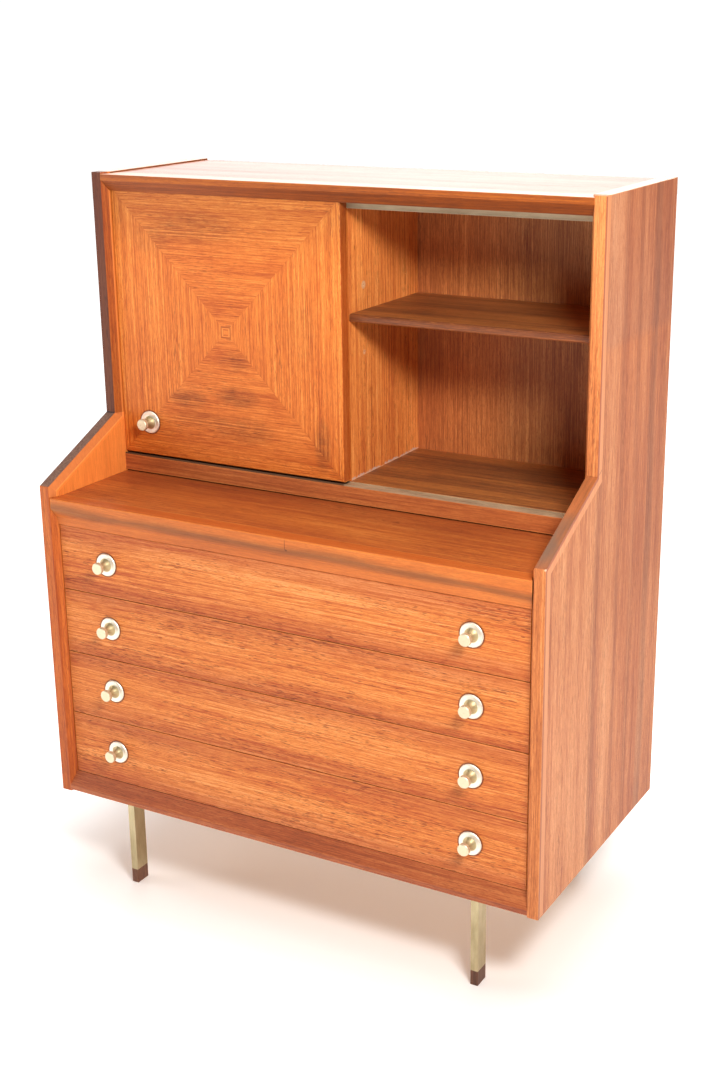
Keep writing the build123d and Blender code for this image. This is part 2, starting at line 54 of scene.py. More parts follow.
class Shader:
    """Adds nodes to one new material and links them."""

    def __init__(self, name):
        self.material = bpy.data.materials.new(name)
        self.material.use_nodes = True
        self.tree = self.material.node_tree
        self.tree.nodes.clear()
        self.output = self.tree.nodes.new("ShaderNodeOutputMaterial")
        self.surface = self.tree.nodes.new("ShaderNodeBsdfPrincipled")
        self.tree.links.new(self.surface.outputs[0], self.output.inputs["Surface"])

    def feed(self, socket, value):
        """Links a socket to a node's output, or sets it to a constant."""
        if isinstance(value, bpy.types.NodeSocket):
            self.tree.links.new(value, socket)
        elif value is not None:
            socket.default_value = value

    def math(self, operation, first, second=None, third=None, clamp=False):
        node = self.tree.nodes.new("ShaderNodeMath")
        node.operation = operation
        node.use_clamp = clamp
        for socket, value in zip(node.inputs, (first, second, third)):
            self.feed(socket, value)
        return node.outputs[0]

    def product(self, first, *others):
        for other in others:
            first = self.math("MULTIPLY", first, other)
        return first

    def difference(self, first, second):
        """The distance between two values, whichever is larger."""
        return self.math("ABSOLUTE", self.math("SUBTRACT", first, second))

    def hypotenuse(self, first, second):
        square = self.math("MULTIPLY", second, second)
        return self.math("SQRT", self.math("MULTIPLY_ADD", first, first, square))

    def split(self, vector):
        node = self.tree.nodes.new("ShaderNodeSeparateXYZ")
        self.feed(node.inputs[0], vector)
        return list(node.outputs)

    def join(self, x, y, z):
        node = self.tree.nodes.new("ShaderNodeCombineXYZ")
        for socket, value in zip(node.inputs, (x, y, z)):
            self.feed(socket, value)
        return node.outputs[0]

    def scaled(self, vector, scale):
        node = self.tree.nodes.new("ShaderNodeVectorMath")
        node.operation = "MULTIPLY"
        self.feed(node.inputs[0], vector)
        self.feed(node.inputs[1], scale)
        return node.outputs[0]

    def noise(self, vector, scale, detail=2.0, roughness=0.5, spread=1.0):
        """Noise around 0, stretched by the scale of each axis and multiplied by spread."""
        node = self.tree.nodes.new("ShaderNodeTexNoise")
        self.feed(node.inputs["Vector"], self.scaled(vector, scale))
        node.inputs["Scale"].default_value = 1.0
        node.inputs["Detail"].default_value = detail
        node.inputs["Roughness"].default_value = roughness
        centred = self.math("SUBTRACT", node.outputs["Fac"], 0.5)
        return self.math("MULTIPLY", centred, spread)

    def cloud(self, vector, scale, detail, roughness, spread, middle):
        """Noise around a middle value, kept between 0 and 1."""
        noise = self.noise(vector, scale, detail, roughness, spread)
        return self.math("ADD", noise, middle, clamp=True)

    def step(self, value, low, high):
        """0 below low, 1 above high, and smooth between."""
        node = self.tree.nodes.new("ShaderNodeMapRange")
        node.interpolation_type = "SMOOTHSTEP"
        self.feed(node.inputs["Value"], value)
        self.feed(node.inputs["From Min"], low)
        self.feed(node.inputs["From Max"], high)
        return node.outputs[0]

    def mix(self, factor, first, second, blend="MIX"):
        node = self.tree.nodes.new("ShaderNodeMix")
        node.data_type = "RGBA"
        node.blend_type = blend
        self.feed(node.inputs[0], factor)
        self.feed(node.inputs[6], first)
        self.feed(node.inputs[7], second)
        return node.outputs[2]

    def ramp(self, value, stops):
        node = self.tree.nodes.new("ShaderNodeValToRGB")
        elements = node.color_ramp.elements
        while len(elements) < len(stops):
            elements.new(0.5)
        for element, (position, colour) in zip(elements, stops):
            element.position = position
            element.color = colour
        self.feed(node.inputs[0], value)
        return node.outputs[0]

    def bump(self, height, distance, strength=1.0):
        node = self.tree.nodes.new("ShaderNodeBump")
        node.inputs["Strength"].default_value = strength
        node.inputs["Distance"].default_value = distance
        self.feed(node.inputs["Height"], height)
        self.tree.links.new(node.outputs[0], self.surface.inputs["Normal"])

    def position(self):
        node = self.tree.nodes.new("ShaderNodeTexCoord")
        return node.outputs["Object"]

    def set(self, **values):
        """Sets or feeds the shader's own sockets."""
        for name, value in values.items():
            self.feed(self.surface.inputs[name.replace("_", " ")], value)


def edge_distance(shader, position, box):
    """Distance in metres from a point on a board's face to the board's nearest edge."""
    low, high = box
    gaps = []
    for axis, value in enumerate(shader.split(position)):
        offset = shader.difference(value, (low[axis] + high[axis]) / 2)
        gaps.append(shader.math("SUBTRACT", (high[axis] - low[axis]) / 2, offset))
    larger = shader.math("MAXIMUM", gaps[0], gaps[1])
    smaller = shader.math("MINIMUM", gaps[0], gaps[1])
    return shader.math("MAXIMUM", smaller, shader.math("MINIMUM", larger, gaps[2]))


# Each teak look: the ramp from palest to darkest grain, how strong each layer of the figure is, its
# roughness (shine) and its specular level (gloss). Finer veneers have more grain lines to a metre.
COMMON_PITCH = 290.0
TEAK = {
    "drawer": dict(
        colours=[(236, 155, 87), (215, 125, 55), (181, 82, 33), (105, 39, 19)],
        band=0.6, line=1.1, fine=1.1, patch=0.3, vein=0.7, fleck=0.75, shine=0.42, gloss=0.26,
        pitch=340.0,
    ),
    "door": dict(
        colours=[(242, 152, 69), (216, 117, 40), (180, 81, 25), (109, 43, 18)],
        band=0.3, line=1.1, fine=1.1, patch=0.4, vein=0.6, fleck=0.55, shine=0.42, gloss=0.26,
        pitch=330.0,
    ),
    "side": dict(
        colours=[(220, 150, 98), (197, 122, 74), (162, 86, 52), (96, 54, 39)],
        band=0.9, line=0.8, fine=1.0, patch=0.3, vein=0.4, fleck=0.4, shine=0.45, gloss=0.22,
        pitch=400.0,
    ),
    "back": dict(
        colours=[(223, 168, 104), (187, 126, 74), (139, 87, 55), (83, 51, 42)],
        band=0.4, line=0.8, fine=0.8, patch=0.25, vein=0.5, fleck=0.45, shine=0.45, gloss=0.26,
        pitch=430.0,
    ),
    "divider": dict(
        colours=[(251, 172, 96), (231, 140, 66), (191, 94, 45), (90, 42, 22)],
        band=0.4, line=1.2, fine=1.0, patch=0.4, vein=0.9, fleck=0.6, shine=0.42, gloss=0.26,
    ),
    "leaf": dict(
        colours=[(195, 114, 51), (173, 90, 37), (147, 69, 32), (100, 43, 24)],
        band=0.9, line=1.0, fine=1.2, patch=0.8, vein=0.6, fleck=0.6, shine=0.34, gloss=0.34,
    ),
    "shelf": dict(
        colours=[(184, 114, 56), (150, 89, 45), (109, 64, 38), (58, 36, 30)],
        band=1.3, line=1.3, fine=1.0, patch=0.6, vein=0.6, fleck=0.4, shine=0.36, gloss=0.30,
    ),
    "top": dict(
        colours=[(210, 159, 135), (188, 128, 101), (164, 98, 76), (112, 66, 56)],
        band=0.6, line=0.7, fine=0.7, patch=0.4, vein=0.4, fleck=0.3, shine=0.34, gloss=0.60,
    ),
    "solid": dict(
        colours=[(210, 117, 46), (187, 91, 30), (152, 65, 21), (90, 38, 15)],
        band=0.6, line=0.9, fine=1.0, patch=0.4, vein=0.5, fleck=0.45, shine=0.42, gloss=0.28,
    ),
    "pale_solid": dict(
        colours=[(222, 144, 82), (200, 116, 60), (162, 84, 42), (96, 46, 26)],
        band=0.7, line=1.0, fine=1.0, patch=0.4, vein=0.5, fleck=0.45, shine=0.42, gloss=0.28,
    ),
    "nose": dict(
        colours=[(178, 95, 24), (157, 77, 18), (126, 59, 14), (86, 37, 9)],
        band=0.9, line=1.1, fine=0.9, patch=0.4, vein=0.7, fleck=0.4, shine=0.38, gloss=0.32,
    ),
    "foot_rail": dict(
        colours=[(186, 108, 62), (160, 80, 44), (124, 58, 34), (78, 38, 26)],
        band=1.1, line=1.0, fine=0.9, patch=0.5, vein=0.6, fleck=0.4, shine=0.38, gloss=0.28,
    ),
    "moulding": dict(
        colours=[(211, 130, 69), (187, 103, 53), (155, 78, 42), (102, 52, 32)],
        band=1.0, line=1.0, fine=0.9, patch=0.5, vein=0.6, fleck=0.4, shine=0.38, gloss=0.28,
    ),
    "leaf_rail": dict(
        colours=[(215, 127, 55), (202, 108, 43), (179, 91, 36), (135, 72, 32)],
        band=1.2, line=0.6, fine=0.9, patch=0.5, vein=0.2, fleck=0.25, shine=0.40, gloss=0.28,
    ),
    "tip": dict(
        colours=[(136, 92, 66), (116, 74, 54), (92, 58, 44), (62, 40, 32)],
        band=0.8, line=1.0, fine=0.9, patch=0.3, vein=0.5, fleck=0.4, shine=0.45, gloss=0.30,
    ),
}


# The tone halfway between palest and darkest grain.
MIDDLE_TONE = 0.40
# The door's width over its height, the place in the log of its veneer, and the small shift that
# keeps its upright quarters from repeating the level ones.
DOOR_SHAPE = 0.976
VENEER_OFFSET = 0.73
QUARTER_SHIFT = 0.004


def grain_coordinates(shader, position, axis, seed):
    """The position with X along the grain, shifted so that each board has its own figure."""
    parts = shader.split(position)
    along = shader.math("ADD", parts[axis], seed * 1.37)
    across = [
        shader.math("ADD", parts[other], seed * 0.61 + 0.19 * other)
        for other in range(3)
        if other != axis
    ]
    return along, across[0], across[1]


def quartered_coordinates(shader, position, box):
    """Grain that runs round the door in squares: four mitred quarters cut from one veneer."""
    low, high = box
    x, y, z = shader.split(position)
    from_x = shader.math("SUBTRACT", x, (low[0] + high[0]) / 2)
    from_z = shader.math("SUBTRACT", z, (low[2] + high[2]) / 2)
    span_x = shader.math("ABSOLUTE", from_x)
    span_z = shader.math("MULTIPLY", shader.math("ABSOLUTE", from_z), DOOR_SHAPE)
    upright = shader.math("GREATER_THAN", span_x, span_z)
    across = shader.math("MAXIMUM", span_x, span_z)
    along = shader.tree.nodes.new("ShaderNodeMix")
    along.data_type = "FLOAT"
    shader.feed(along.inputs[0], upright)
    shader.feed(along.inputs[2], from_x)
    shader.feed(along.inputs[3], from_z)
    across = shader.math("ADD", across, VENEER_OFFSET)
    return along.outputs[0], across, shader.math("MULTIPLY_ADD", upright, QUARTER_SHIFT, y)


def teak(name, look, axis=0, seed=0.0, box=None, quartered=False, marks=None):
    """Oiled teak: colour bands, grain lines, fine grain, dark flecks, open pores, and pale edges
    that are partly worn and partly a painted highlight.
    """
    values = TEAK[look]
    pitch = values.get("pitch", COMMON_PITCH)
    shader = Shader(name)
    position = shader.position()
    if quartered:
        along, first, second = quartered_coordinates(shader, position, box)
    else:
        along, first, second = grain_coordinates(shader, position, axis, seed)
    straight = shader.join(along, first, second)
    sway = shader.noise(straight, (1.6, 5.0, 5.0), 2.0, 0.5, 0.005 if quartered else 0.016)
    grain = shader.join(along, shader.math("ADD", first, sway), shader.math("ADD", second, sway))
    band = shader.noise(grain, (0.7, 20.0, 20.0), 3.0, 0.6, values["band"])
    line = shader.noise(grain, (1.6, pitch, pitch), 3.0, 0.6, values["line"])
    fine = shader.noise(grain, (34.0, 700.0, 700.0), 3.0, 0.7, values["fine"])
    patch = shader.noise(straight, (3.5, 12.0, 12.0), 3.0, 0.6, values["patch"])
    tone = shader.math("ADD", shader.math("ADD", band, line), shader.math("ADD", fine, patch))
    tone = shader.math("ADD", tone, MIDDLE_TONE, clamp=True)
    palest, base, deep, darkest = [srgb(*colour) for colour in values["colours"]]
    colour = shader.ramp(tone, [(0.08, palest), (0.38, base), (0.66, deep), (1.0, darkest)])

    vein = shader.noise(grain, (2.4, 460.0, 460.0), 2.0, 0.5, 1.0)
    vein = shader.math("MULTIPLY", shader.step(vein, 0.09, 0.19), values["vein"])
    colour = shader.mix(vein, colour, deep)
    cluster = shader.noise(straight, (4.0, 34.0, 34.0), 2.0, 0.6, 0.5)
    dash = shader.noise(grain, (64.0, 900.0, 900.0), 1.0, 0.5, 1.0)
    dash = shader.math("ADD", dash, cluster)
    fleck = shader.math("MULTIPLY", shader.step(dash, 0.12, 0.24), values["fleck"])
    colour = shader.mix(fleck, colour, darkest)
    pore = shader.step(shader.noise(grain, (150.0, 900.0, 900.0), 1.0, 0.5, 1.0), 0.06, 0.16)
    colour = shader.mix(shader.math("MULTIPLY", pore, 0.40), colour, deep)
    if marks:
        colour = marks(shader, position, line, colour)
    if box:
        gap = edge_distance(shader, position, box)
        chatter = shader.noise(straight, (90.0, 90.0, 90.0), 2.0, 0.6, 0.0026)
        # Pale edges: partly wear, partly a painted highlight along the arrises.
        worn = shader.step(shader.math("ADD", gap, chatter), 0.0016, 0.0004)
        colour = shader.mix(shader.math("MULTIPLY", worn, 0.5), colour, palest)
    shine = shader.math("MULTIPLY_ADD", tone, 0.10, values["shine"])
    shader.set(
        Base_Color=colour,
        Roughness=shader.math("ADD", shine, shader.math("MULTIPLY", fleck, 0.15)),
        IOR=1.5,
        Specular_IOR_Level=values["gloss"],
    )
    height = shader.math("MULTIPLY_ADD", pore, -0.6, shader.math("MULTIPLY", tone, -0.4))
    shader.bump(height, 0.0003, 0.35)
    return shader.material


# ---------------------------------------------------------------------------------------------
# Marks that belong to one board: each returns the colour with its mark painted over it
# ---------------------------------------------------------------------------------------------
# Paint on one face fades out between one and two of these depths below it.
SKIN = 0.0005
# The ring of painted contact shade and old polish around a knob, and the hub and the cap of the knob
# itself.
SHADE_AND_POLISH_INNER, SHADE_AND_POLISH_OUTER = 0.0208, 0.0238
HUB_INNER, HUB_OUTER = 0.0110, 0.0130
CAP_FRONT, CAP_REAR = 0.0060, 0.0085
RING_FREQUENCY = 9000.0


def spot(shader, position, centre, reach):
    """1 at a centre and 0 beyond its reach, a size along each axis; None ignores that axis."""
    squares = None
    for value, middle, span in zip(shader.split(position), centre, reach):
        if span is None:
            continue
        offset = shader.math("DIVIDE", shader.math("SUBTRACT", value, middle), span)
        square = shader.math("MULTIPLY", offset, offset)
        squares = square if squares is None else shader.math("ADD", squares, square)
    return shader.step(squares, 1.0, 0.0)


def tinted(shader, colour, factor, tint):
    """The colour multiplied by a tint where the factor is 1."""
    return shader.mix(factor, colour, (*tint, 1.0), "MULTIPLY")


def knob_place(name):
    """Distance of a knob's axis from the middle of the desk, and its height."""
    low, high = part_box(name)
    radius = (high[2] - low[2]) / 2
    return max(abs(low[0]), abs(high[0])) - radius, low[2] + radius


def knob_radius(shader, position, place):
    """Distance from the axis of a knob; drawers have one at +x and one at -x."""
    x, _, z = shader.split(position)
    from_x = shader.math("SUBTRACT", shader.math("ABSOLUTE", x), place[0])
    from_z = shader.math("SUBTRACT", z, place[1])
    return shader.hypotenuse(from_x, from_z)


def knob_shadow(shader, position, place, colour):
    """The thin dark line around the disc of a knob: painted contact shade and old polish."""
    radius = knob_radius(shader, position, place)
    shade_and_polish = shader.step(radius, SHADE_AND_POLISH_OUTER, SHADE_AND_POLISH_INNER)
    return tinted(shader, colour, shade_and_polish, (0.30, 0.24, 0.22))


DRAWER_KNOB_X = knob_place("drawer_1_knobs")[0]
DOOR_KNOB_PLACE = knob_place("door_knob")


def drawer_marks(box):
    """Redder, darker wood toward the top and bottom of each drawer front."""
    low, high = box
    middle = (low[2] + high[2]) / 2

    def paint(shader, position, line, colour):
        cloud = shader.noise(position, (3.0, 3.0, 26.0), 3.0, 0.6, 0.06)
        offset = shader.difference(shader.split(position)[2], middle)
        outer = shader.step(shader.math("ADD", offset, cloud), 0.016, 0.060)
        colour = tinted(shader, colour, outer, (0.74, 0.60, 0.62))
        return knob_shadow(shader, position, (DRAWER_KNOB_X, middle), colour)

    return paint


# Each streak on a side: its y, half its width, and its strength.
SIDE_STREAKS = (
    (0.182, 0.020, 0.90),
    (0.110, 0.012, 0.40),
    (0.045, 0.012, 0.45),
    (-0.045, 0.016, 0.45),
)
# Where each tint of a side starts and where it is full: toward the back, and above and below.
REAR_TINT_Y = (-0.02, 0.08)
UPPER_TINT_Z = (1.030, 1.052)
LOWER_TINT_Z = (0.66, 0.46)
TOP_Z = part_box("top_panel")[1][2]
LEAF_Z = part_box("writing_leaf")[1][2]
UPPER_FRONT_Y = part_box("top_front_rail")[0][1]
# The heights between which the front edge of a side slants, and the widths of its lipping's bevel
# and of the flat beside that.
SLANT_LOW_Z, SLANT_HIGH_Z = 0.757, 0.8475
BEVEL_WIDTH = 0.0075
FLAT_WIDTH = 0.0185
CHIP = 0.003


def side_marks(box):
    """Grey-brown streaks, a darker band above shelf height, painted floor light low down, painted
    shade on the inner face above the top, a pale top edge that is a painted highlight, and a golden
    inner face.
    """
    low, high = box
    inner_x = min(abs(low[0]), abs(high[0]))

    def paint(shader, position, line, colour):
        sway = shader.noise(position, (2.0, 2.0, 2.0), 2.0, 0.5, 0.030)
        x, y, z = shader.split(position)
        swayed_y = shader.math("ADD", y, sway)
        swayed = shader.join(x, swayed_y, z)
        cloud = shader.cloud(position, (1.0, 60.0, 2.6), 3.0, 0.6, 1.6, 0.62)
        for place, width, strength in SIDE_STREAKS:
            streak = spot(shader, swayed, (0.0, place, 0.0), (None, width, None))
            factor = shader.product(streak, cloud, strength)
            colour = tinted(shader, colour, factor, (0.50, 0.46, 0.54))
        rear = shader.step(swayed_y, *REAR_TINT_Y)
        colour = tinted(shader, colour, rear, (0.92, 0.80, 0.70))
        # Darker and bluer above shelf height.
        upper = shader.step(z, *UPPER_TINT_Z)
        colour = tinted(shader, colour, upper, (0.88, 0.93, 1.10))
        # Painted light: the lower part is paler, standing in for light bounced up from the floor.
        lower = shader.step(z, *LOWER_TINT_Z)
        colour = tinted(shader, colour, lower, (1.12, 1.16, 1.22))
        inner = shader.step(shader.math("ABSOLUTE", x), inner_x + 2 * SKIN, inner_x + SKIN)
        colour = tinted(shader, colour, inner, (1.47, 1.28, 0.70))
        colour = shader.mix(shader.math("MULTIPLY", inner, 0.55), colour, srgb(246, 142, 64))
        # Painted shade: the inner face above the top panel is made dark, where the side's proud edge
        # lies in shade.
        painted_shade_above_top = shader.math("MULTIPLY", inner, shader.step(z, TOP_Z, TOP_Z + SKIN))
        colour = tinted(shader, colour, painted_shade_above_top, (0.22, 0.18, 0.24))
        # Painted highlight: the upturned top edge is pale, standing in for glare.
        upturned = shader.step(z, high[2] - 0.0006, high[2] - 0.0002)
        return shader.mix(upturned, colour, srgb(226, 204, 190))

    return paint


# Each stain on the door: its x and z from the door's middle, half its width and height, and its
# strength.
DOOR_STAINS = (
    (0.020, -0.112, 0.055, 0.024, 0.95),
    (0.030, -0.170, 0.080, 0.030, 0.60),
    (-0.085, -0.126, 0.052, 0.022, 0.75),
    (-0.060, -0.160, 0.070, 0.020, 0.40),
    (0.015, -0.050, 0.040, 0.024, 0.55),
    (0.190, -0.180, 0.020, 0.060, 0.95),
    (-0.060, 0.175, 0.110, 0.034, 0.50),
    (-0.150, 0.150, 0.060, 0.030, 0.35),
    (0.150, 0.020, 0.045, 0.090, 0.30),
)


# The inner and outer half widths of the dark square at the door's centre: nothing, then full.
SQUARE_INNER, SQUARE_OUTER = (0.0070, 0.0082), (0.0110, 0.0096)


def door_marks(box):
    """A dark square at the centre, grey-brown stains, painted shade at the top under the moulding,
    and a solid edge strip.
    """
    low, high = box
    middle = [(low[axis] + high[axis]) / 2 for axis in range(3)]

    def paint(shader, position, line, colour):
        x, _, z = shader.split(position)
        span_x = shader.difference(x, middle[0])
        span_z = shader.difference(z, middle[2])
        from_middle = shader.math("MAXIMUM", span_x, span_z)
        outline = shader.product(
            shader.step(from_middle, *SQUARE_INNER), shader.step(from_middle, *SQUARE_OUTER)
        )
        colour = tinted(shader, colour, outline, (0.62, 0.50, 0.46))
        upright = shader.step(shader.math("SUBTRACT", span_x, span_z), -0.001, 0.001)
        colour = tinted(shader, colour, shader.math("SUBTRACT", 1.0, upright), (0.93, 0.88, 0.88))
        # Painted shade: the top of the door is darker, as if under the moulding's shadow.
        painted_shade_near_top = shader.step(z, middle[2] + 0.11, middle[2] + 0.22)
        colour = tinted(shader, colour, painted_shade_near_top, (0.80, 0.90, 1.0))
        ragged = shader.math("MULTIPLY_ADD", line, 2.2, 0.62, clamp=True)
        cloud = shader.cloud(position, (30.0, 30.0, 60.0), 3.0, 0.7, 2.6, 0.8)
        grime = shader.math("MULTIPLY", ragged, cloud)
        for offset_x, offset_z, reach_x, reach_z, strength in DOOR_STAINS:
            centre = (middle[0] + offset_x, 0.0, middle[2] + offset_z)
            stain = spot(shader, position, centre, (reach_x, None, reach_z))
            factor = shader.product(stain, grime, strength)
            colour = tinted(shader, colour, factor, (0.30, 0.31, 0.46))
        colour = knob_shadow(shader, position, DOOR_KNOB_PLACE, colour)
        edge = shader.step(x, high[0] - 0.0016, high[0] - 0.0010)
        return tinted(shader, colour, edge, (0.62, 0.50, 0.60))

    return paint


# The streak on the leaf's rail: how far it lies below the rail's top, and how much it slopes.
STREAK_DROP, STREAK_SLOPE = 0.0230, -0.006
SCRATCH_X = 0.025


def rail_marks(box):
    """A curving grey-brown streak, a thin scratch with a dent, and the leaf's colour on top."""
    top = box[1][2]

    def paint(shader, position, line, colour):
        x, _, z = shader.split(position)
        lengthways = shader.join(x, 0.0, 0.0)
        curve = shader.noise(lengthways, (3.4, 1.0, 1.0), 1.0, 0.5, 0.032)
        middle = shader.math("MULTIPLY_ADD", x, STREAK_SLOPE, top - STREAK_DROP)
        offset = shader.difference(shader.math("ADD", z, curve), middle)
        swell = shader.noise(lengthways, (4.0, 1.0, 1.0), 2.0, 0.5, 0.020)
        ragged = shader.noise(position, (7.0, 60.0, 150.0), 3.0, 0.6, 0.010)
        offset = shader.math("ADD", shader.math("ADD", offset, swell), ragged)
        streak = shader.step(offset, 0.0150, 0.0005)
        colour = tinted(shader, colour, shader.math("MULTIPLY", streak, 0.85), (0.50, 0.62, 0.95))
        scratch = spot(shader, position, (SCRATCH_X, 0.0, top - 0.012), (0.0009, None, 0.014))
        dent_centre = (SCRATCH_X + 0.002, 0.0, top - 0.020)
        dent = spot(shader, position, dent_centre, (0.0026, None, 0.0026))
        damage = shader.math("MAXIMUM", scratch, dent)
        colour = tinted(shader, colour, damage, (0.36, 0.30, 0.28))
        upturned = shader.step(z, top - 0.0010, top - 0.0004)
        return tinted(shader, colour, upturned, (0.76, 0.62, 0.60))

    return paint


def outline_depth(shader, position, front_y):
    """Distances of a point behind the side's bent front outline, and behind its slanted part."""
    _, y, z = shader.split(position)
    angle = math.atan2(SLANT_HIGH_Z - SLANT_LOW_Z, UPPER_FRONT_Y - front_y)
    from_front = shader.math("SUBTRACT", y, front_y)
    from_corner = shader.math("MULTIPLY", shader.math("SUBTRACT", z, SLANT_LOW_Z), math.cos(angle))
    from_slant = shader.math("MULTIPLY", from_front, math.sin(angle))
    from_slant = shader.math("SUBTRACT", from_slant, from_corner)
    from_upper = shader.math("SUBTRACT", y, UPPER_FRONT_Y)
    depth = shader.math("MAXIMUM", shader.math("MINIMUM", from_front, from_slant), from_upper)
    return depth, from_slant


def lipping_sides(shader, position, line, colour, box):
    """The lipping's inner and outer faces look like the veneer of the panel that they continue."""
    low, high = box
    inner_x, outer_x = sorted((abs(low[0]), abs(high[0])))
    x, _, z = shader.split(position)
    span = shader.math("ABSOLUTE", x)
    depth, _ = outline_depth(shader, position, low[1])
    streaked = shader.math("MULTIPLY_ADD", line, 1.1, 0.4, clamp=True)
    outer = shader.step(span, outer_x - 0.0006, outer_x - 0.0003)
    veneer = shader.mix(streaked, srgb(228, 152, 98), srgb(180, 102, 62))
    colour = shader.mix(outer, colour, veneer)
    arris = shader.math("MULTIPLY", outer, shader.step(depth, 0.0065, 0.0045))
    colour = tinted(shader, colour, arris, (0.60, 0.42, 0.34))
    face = shader.step(span, inner_x + 2 * SKIN, inner_x + SKIN)
    bevel = shader.step(span, inner_x + BEVEL_WIDTH, inner_x + BEVEL_WIDTH - SKIN)
    bevel = shader.math("MULTIPLY", bevel, shader.step(z, SLANT_HIGH_Z, SLANT_HIGH_Z - 0.001))
    above_leaf = shader.step(z, LEAF_Z, LEAF_Z + 0.002)
    golden = shader.mix(streaked, srgb(255, 154, 74), srgb(226, 120, 50))
    darker = shader.mix(streaked, srgb(216, 126, 64), srgb(186, 98, 46))
    colour = shader.mix(shader.math("MULTIPLY", bevel, above_leaf), colour, darker)
    return shader.mix(shader.math("MULTIPLY", face, above_leaf), colour, golden)


def slant_factor(shader, position, box):
    """1 on the slanted part of the lipping's front face."""
    _, from_slant = outline_depth(shader, position, box[0][1])
    z = shader.split(position)[2]
    face = shader.step(shader.math("ABSOLUTE", from_slant), 0.0010, 0.0006)
    return shader.math("MULTIPLY", face, shader.step(z, SLANT_LOW_Z, SLANT_LOW_Z + 0.001))


def lipping_marks(box):
    """Brown, rubbed wood on the slanted part of the right edge, and a pale chip where it starts."""
    low, high = box

    def paint(shader, position, line, colour):
        colour = lipping_sides(shader, position, line, colour, box)
        slant = slant_factor(shader, position, box)
        brown = shader.cloud(position, (260.0, 14.0, 14.0), 3.0, 0.6, 1.6, 0.45)
        streaks = shader.mix(brown, srgb(178, 98, 50), srgb(104, 56, 32))
        colour = shader.mix(shader.math("MULTIPLY", slant, 0.85), colour, streaks)
        rubbed_centre = (0.0, low[1] + 0.055, SLANT_LOW_Z + 0.029)
        rubbed = spot(shader, position, rubbed_centre, (None, 0.080, 0.060))
        cloud = shader.cloud(position, (120.0, 20.0, 20.0), 3.0, 0.6, 1.8, 0.75)
        factor = shader.product(rubbed, cloud, slant)
        colour = shader.mix(shader.math("MULTIPLY", factor, 0.85), colour, srgb(108, 82, 64))
        chip = spot(shader, position, (high[0], low[1], SLANT_LOW_Z), (CHIP, CHIP, CHIP))
        return shader.mix(chip, colour, srgb(240, 206, 176))

    return paint


def dark_lipping_marks(box):
    """The front of the left edge above the writing surface: grey-brown on the slanted part and much
    darker above it.
    """
    left = box[0][0]

    def paint(shader, position, line, colour):
        colour = lipping_sides(shader, position, line, colour, box)
        x, _, z = shader.split(position)
        flat = shader.step(x, left + FLAT_WIDTH + 0.0005, left + FLAT_WIDTH - 0.0001)
        slant = shader.math("MULTIPLY", slant_factor(shader, position, box), flat)
        streaked = shader.math("MULTIPLY_ADD", line, 1.8, 0.5, clamp=True)
        worn = shader.mix(streaked, srgb(146, 112, 94), srgb(82, 52, 42))
        colour = shader.mix(slant, colour, worn)
        upper = shader.step(z, SLANT_HIGH_Z - 0.002, SLANT_HIGH_Z)
        darkened = shader.math("MULTIPLY", upper, flat)
        colour = tinted(shader, colour, darkened, (0.24, 0.22, 0.30))
        bevel = shader.step(x, left + FLAT_WIDTH + 0.0001, left + FLAT_WIDTH + 0.0007)
        bevel = shader.math("MULTIPLY", bevel, upper)
        return tinted(shader, colour, bevel, (0.74, 0.72, 0.70))

    return paint


# Each plugged hole in the divider: its height, its radius, and how clearly it shows.
DIVIDER_PLUGS = ((1.0975, 0.0078, 0.75), (0.9835, 0.0052, 0.55))
PLUGS_FROM_BACK = 0.194


def divider_marks(box):
    """Pale chips along the foot of the divider, and two plugged shelf holes above them."""
    low, high = box

    def paint(shader, position, line, colour):
        rise = shader.math("SUBTRACT", shader.split(position)[2], low[2])
        ragged = shader.noise(position, (60.0, 60.0, 60.0), 3.0, 0.7, 0.02)
        chips = shader.step(shader.math("ADD", rise, ragged), 0.0045, 0.0020)
        colour = shader.mix(shader.math("MULTIPLY", chips, 0.8), colour, srgb(206, 184, 170))
        for height, reach, strength in DIVIDER_PLUGS:
            centre = (0.0, high[1] - PLUGS_FROM_BACK, height)
            plug = spot(shader, position, centre, (None, reach, reach))
            plug = shader.math("MULTIPLY", shader.step(plug, 0.0, 0.3), strength)
            colour = shader.mix(plug, colour, srgb(214, 170, 128))
        return colour

    return paint


# The centres of the old ring marks on the writing surface.
LEAF_RINGS = ((0.165, -0.135), (-0.215, -0.165))
RING_RADIUS = 0.036


def leaf_marks(_box):
    """Darker, redder painted shade along the back of the writing surface, under the upper case, and
    old rings near the front.
    """

    def paint(shader, position, line, colour):
        x, y, _ = shader.split(position)
        cloud = shader.noise(position, (2.0, 14.0, 1.0), 3.0, 0.6, 0.16)
        # Painted shade toward the back, under the upper case.
        rear = shader.step(shader.math("ADD", y, cloud), -0.16, -0.04)
        colour = tinted(shader, colour, rear, (0.80, 0.74, 0.84))
        broken = shader.cloud(position, (24.0, 24.0, 1.0), 2.0, 0.6, 2.4, 0.4)
        for centre_x, centre_y in LEAF_RINGS:
            from_x = shader.math("SUBTRACT", x, centre_x)
            from_y = shader.math("SUBTRACT", y, centre_y)
            offset = shader.difference(shader.hypotenuse(from_x, from_y), RING_RADIUS)
            ring = shader.product(shader.step(offset, 0.0022, 0.0008), broken, 0.35)
            colour = tinted(shader, colour, ring, (0.70, 0.66, 0.70))
        return colour

    return paint


